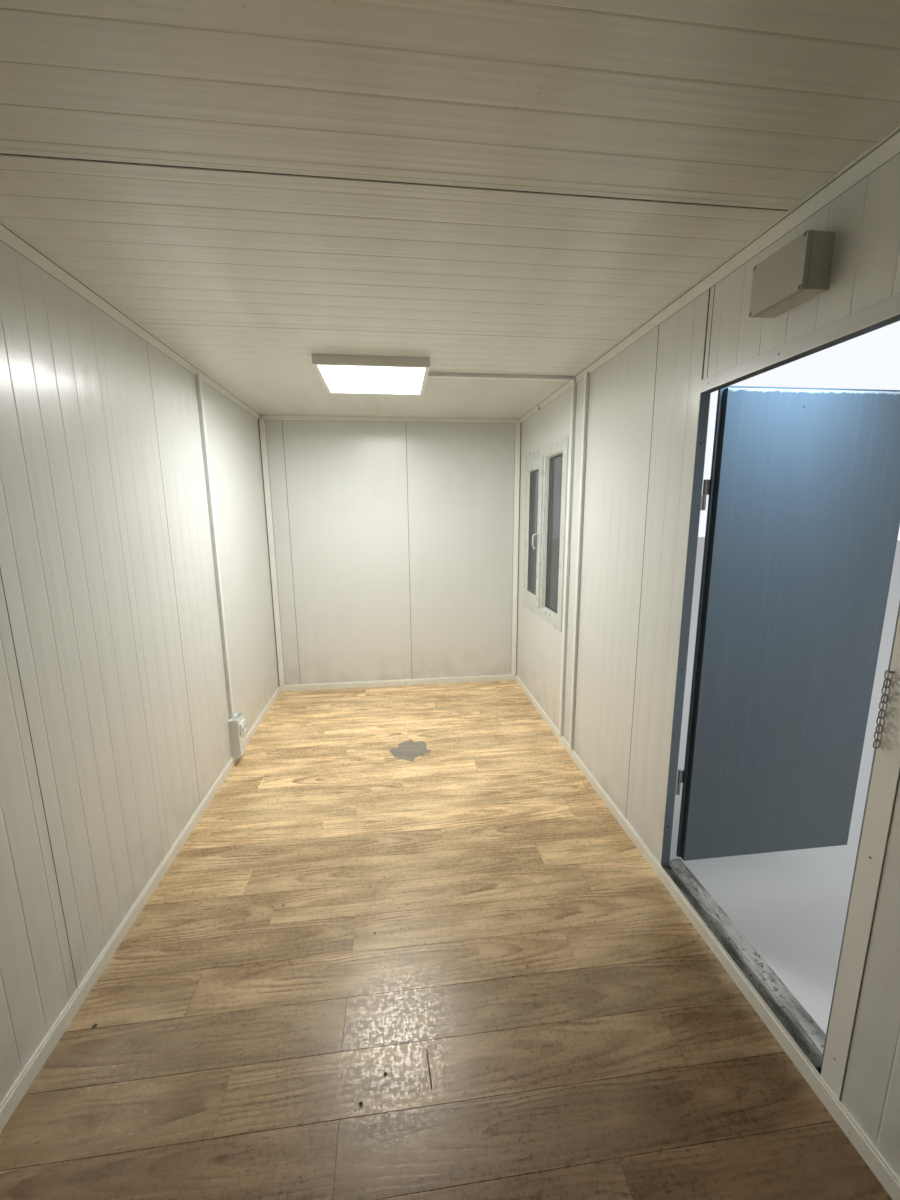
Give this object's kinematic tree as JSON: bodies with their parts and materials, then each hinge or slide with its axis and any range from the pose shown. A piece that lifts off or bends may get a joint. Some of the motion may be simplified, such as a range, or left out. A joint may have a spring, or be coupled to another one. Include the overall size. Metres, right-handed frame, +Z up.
{
  "type": "portable site cabin",
  "caption": "One-room portable site cabin of insulated ribbed panels on a steel frame, with an outward door, a two-light window, ceiling lamp and surface wiring.",
  "frame": {"origin": "middle of the base frame's underside, on the ground", "axes": "+X to the wall with the door and the window, +Y along the cabin to its far end wall, +Z up"},
  "size_m": [3.3025, 6.058, 2.8],
  "materials": {
    "frame_steel": "anthracite paint on folded steel, satin",
    "galvanised_sheet": "galvanised sheet, dull spangle",
    "floor_core": "raw board",
    "floor_finish": "wood-look vinyl planks, satin, worn",
    "panel_sheet": "off-white coated steel sheet, glossy, fine ribs",
    "door_frame_steel": "dark grey painted steel",
    "room_trim": "off-white folded sheet",
    "threshold_paint": "white paint, scuffed to grey",
    "door_paint": "light grey painted sheet",
    "hinge_steel": "zinc plated",
    "handle_metal": "satin aluminium",
    "chain_steel": "zinc plated, bright",
    "window_plastic": "white window plastic, satin",
    "window_glass": "clear double glazing",
    "lamp_body": "white powder coat",
    "lamp_diffuser": "opal diffuser, lit",
    "trunking_plastic": "off-white plastic",
    "box_plastic": "light grey plastic"
  },
  "bodies": {
    "cabin": {"base_side_rails": "frame_steel", "base_end_rails": "frame_steel", "floor_joists": "frame_steel", "fork_pockets": "frame_steel", "under_floor_sheets": "galvanised_sheet", "bottom_corner_castings": "frame_steel", "top_corner_castings": "frame_steel", "corner_posts": "frame_steel", "floor_board": "floor_core", "floor_covering": "floor_finish", "left_wall": "panel_sheet", "far_end_wall": "panel_sheet", "near_end_wall": "panel_sheet", "right_wall_far_panels": "panel_sheet", "right_wall_near_panels": "panel_sheet", "window_panel": "panel_sheet", "over_door_panel": "panel_sheet", "over_door_fillers": "panel_sheet", "door_frame": "door_frame_steel", "door_trim": "room_trim", "door_threshold": "threshold_paint", "hinge_frame_halves": "hinge_steel", "door_chain": "chain_steel", "window_frame": "window_plastic", "window_sash": "window_plastic", "window_panes": "window_glass", "window_handle": "window_plastic", "skirtings": "room_trim", "ceiling_trims": "room_trim", "corner_trims": "room_trim", "roof_side_rails": "frame_steel", "roof_end_rails": "frame_steel", "roof_sheet": "galvanised_sheet", "ceiling_panels": "panel_sheet", "lamp_housing": "lamp_body", "lamp_panel": "lamp_diffuser", "lighting_trunking": "trunking_plastic", "right_wall_trunking": "trunking_plastic", "left_wall_trunking": "trunking_plastic", "socket_box": "trunking_plastic", "junction_box": "box_plastic", "junction_box_lid": "box_plastic"},
    "door": {"door_leaf": "door_paint", "door_handle": "handle_metal", "hinge_leaf_halves": "hinge_steel"}
  },
  "joints": [
    {"name": "door_hinge", "type": "hinge", "parent": "cabin", "child": "door", "pos_m": [1.2165, 0.416, 0], "axis": [0, 0, 1], "range_deg": [-90, 80]}
  ]
}
